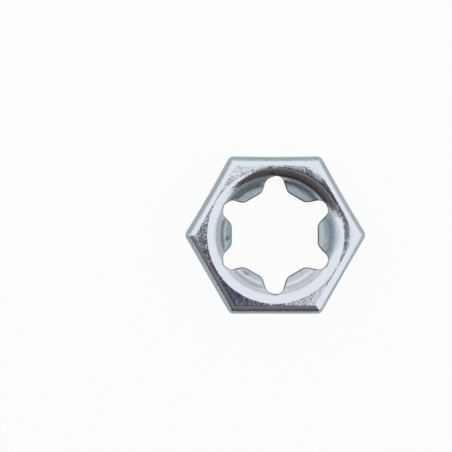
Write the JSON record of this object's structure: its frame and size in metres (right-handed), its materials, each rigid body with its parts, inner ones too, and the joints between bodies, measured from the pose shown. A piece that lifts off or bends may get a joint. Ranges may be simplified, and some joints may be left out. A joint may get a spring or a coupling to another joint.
{
  "type": "stamped lock nut",
  "caption": "Hexagonal lock nut pressed from one spring-steel sheet, with a bearing face, a bent skirt and sprung tongues round the hole that grip a bolt's thread.",
  "frame": {"origin": "on the thread axis, in the plane of the six tips of the skirt's free edge, on which the nut stands with its bearing face up", "axes": "+Z along the thread axis, out of the bearing face; +X through a corner of the hexagon, between the flats; +Y square to a flat"},
  "size_m": [0.0412, 0.036, 0.007],
  "materials": {
    "zinc_plated_steel": "bright blue-white zinc plating on pressed spring steel, slightly mottled"
  },
  "bodies": {
    "root": {"lock_nut": "zinc_plated_steel"}
  },
  "joints": []
}
